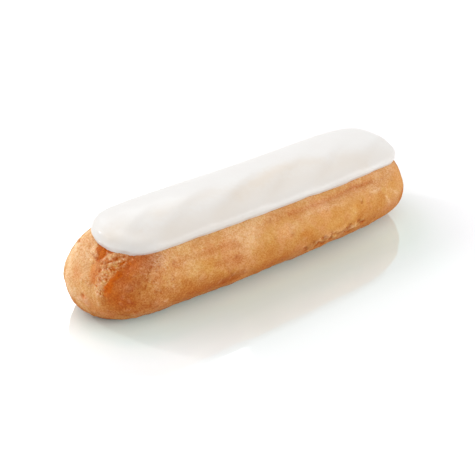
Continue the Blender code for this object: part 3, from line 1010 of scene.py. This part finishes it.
def crust_material():
    """Baked choux: golden, toasted in places, with pale dry flecks and fine pores, and painted shade and
    highlights.
    """
    material, tree, shader = new_material("crust")
    place = object_place(tree)
    split = new_node(tree, "SeparateColor")
    tree.links.new(attribute(tree, "tints")["Color"], split.inputs["Color"])
    # The red tint is toast and painted shade; below none it is lighter gold and painted highlight.
    toast_and_shading = ramp(tree, split.outputs["Red"], *OVER_NONE)
    light = ramp(tree, split.outputs["Red"], *UNDER_NONE)
    orange = ramp(tree, split.outputs["Green"], *OVER_NONE)
    pale = ramp(tree, split.outputs["Blue"], *OVER_NONE)
    colour = ramp(tree, noise_texture(tree, place, *BROAD_NOISE), *BROAD_TONES)
    for share, tint in ((toast_and_shading, BROWN), (light, LIGHT_GOLD), (pale, PALE), (orange, ORANGE)):
        colour = mixed(tree, share, colour, tint)
    mottle = noise_texture(tree, place, *MOTTLE_NOISE)
    grit = noise_texture(tree, place, *GRIT_NOISE)
    along_x = new_node(
        tree, "MapRange", From_Min=COARSE_X, From_Max=FINE_X, To_Min=COARSE_GRAIN, To_Max=FINE_GRAIN
    )
    tree.links.new(split_axes(tree, place)["X"], along_x.inputs["Value"])
    grain = calculated(tree, "MULTIPLY_ADD", toast_and_shading, TOAST_AND_SHADE_GRAIN, along_x.outputs["Result"])
    for source, ((low, dark), (high, bright)) in (
        (mottle, MOTTLE_TONES), (sand_noise(tree, place, grit), SAND_TONES)
    ):
        tone = mixed(tree, ramp(tree, source, (low, 0.0), (high, 1.0)), dark, bright)
        tone = mixed(tree, grain, UNCHANGED, tone, clamped=False)
        tone = mixed(tree, ramp(tree, orange, *ORANGE_HIDES), tone, UNCHANGED)
        colour = mixed(tree, 1.0, colour, tone, "MULTIPLY")
    tree.links.new(colour, shader.inputs["Base Color"])
    add_bump(tree, shader, grit, CRUST_BUMP)
    tree.links.new(ramp(tree, mottle, *CRUST_ROUGHNESS), shader.inputs["Roughness"])
    set_inputs(shader, CRUST_SHADER)
    return material


def icing_material():
    """Poured fondant: soft white, warmer where it is thin and where shade is painted, with a satin gloss.
    """
    material, tree, shader = new_material("icing")
    place = object_place(tree)
    colour = ramp(tree, noise_texture(tree, place, *CLOUD_NOISE), *CLOUD_TONES)
    thin_and_shade = ramp(tree, attribute(tree, "thin_and_shade")["Fac"], *OVER_NONE)
    colour = mixed(tree, thin_and_shade, colour, ICING_THIN_AND_SHADE)
    tree.links.new(colour, shader.inputs["Base Color"])
    smear = noise_texture(tree, place, *SMEAR_NOISE)
    tree.links.new(ramp(tree, smear, *ICING_ROUGHNESS), shader.inputs["Roughness"])
    add_bump(tree, shader, smear, ICING_BUMP)
    set_inputs(shader, ICING_SHADER)
    return material


def distance_from_line(tree, half_length, line_y):
    """How far a place on the floor is from a line along X under what stands on it."""
    axes = split_axes(tree, object_place(tree))
    on_line = new_node(tree, "Clamp", Min=-half_length, Max=half_length)
    tree.links.new(axes["X"], on_line.inputs["Value"])
    offset = new_node(tree, "CombineXYZ")
    beyond = calculated(tree, "SUBTRACT", axes["X"], on_line.outputs["Result"])
    tree.links.new(beyond, offset.inputs["X"])
    tree.links.new(calculated(tree, "SUBTRACT", axes["Y"], line_y), offset.inputs["Y"])
    length = new_node(tree, "VectorMath")
    length.operation = "LENGTH"
    tree.links.new(offset.outputs["Vector"], length.inputs[0])
    return length.outputs["Value"]


def share_between(tree, value, start, end):
    """How far a value is from start to end, as a share."""
    share = new_node(tree, "MapRange", From_Min=start, From_Max=end)
    tree.links.new(value, share.inputs["Value"])
    return share.outputs["Result"]


def floor_material():
    material, tree, shader = new_material("floor")
    # Painted shade: the floor's colour darkens and turns greener with the distance around the eclair.
    away = distance_from_line(tree, FLOOR_LINE, FLOOR_LINE_Y)
    share = share_between(tree, away, *FLOOR_REACH)
    along_x = split_axes(tree, object_place(tree))["X"]
    near_end = share_between(tree, along_x, *FLOOR_NEAR_END)
    far_end = share_between(tree, along_x, *FLOOR_FAR_END)
    near_colour = ramp(tree, share, *FLOOR_NEAR_COLOURS)
    colour = mixed(tree, near_end, ramp(tree, share, *FLOOR_COLOURS), near_colour)
    colour = mixed(tree, far_end, colour, FLOOR_FAR_TINT, blend="MULTIPLY")
    tree.links.new(colour, shader.inputs["Base Color"])
    # Painted light: the floor glows faintly close to the eclair.
    tree.links.new(ramp(tree, share, *FLOOR_PAINTED_GLOW), shader.inputs["Emission Color"])
    set_inputs(shader, FLOOR_SHADER)
    return material


def make_floor():
    mesh = bmesh.new()
    bmesh.ops.create_grid(mesh, x_segments=1, y_segments=1, size=FLOOR_SIZE)
    data = bpy.data.meshes.new("floor")
    mesh.to_mesh(data)
    mesh.free()
    floor = bpy.data.objects.new("floor", data)
    bpy.context.scene.collection.objects.link(floor)
    data.materials.append(floor_material())


def make_lamp(name, place, width, height, power):
    """A soft lamp that points at the eclair."""
    data = bpy.data.lights.new(name, "AREA")
    data.shape = "RECTANGLE"
    data.size = width
    data.size_y = height
    data.energy = power
    lamp = bpy.data.objects.new(name, data)
    bpy.context.scene.collection.objects.link(lamp)
    lamp.location = place
    lamp.rotation_euler = (-Vector(place)).to_track_quat("-Z", "Y").to_euler()


def make_lights():
    world = bpy.data.worlds.new("world")
    bpy.context.scene.world = world
    world.use_nodes = True
    background = world.node_tree.nodes["Background"]
    background.inputs["Color"].default_value = (1, 1, 1, 1)
    background.inputs["Strength"].default_value = SKY_LIGHT
    for name, values in LAMPS.items():
        make_lamp(name, *values)


def main():
    make_camera()
    icing = make_icing()
    crust = make_crust(icing)
    settle_icing(icing, crust)
    for piece, material in ((crust, crust_material()), (icing, icing_material())):
        piece.data.materials.clear()
        piece.data.materials.append(material)
    for piece, node, slot in ((crust, "choux_bun", "crust"), (icing, "white_icing", "icing")):
        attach(piece, "root")
        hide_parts(node)
    make_floor()
    make_lights()
    bpy.context.scene.view_settings.view_transform = "Standard"


main()
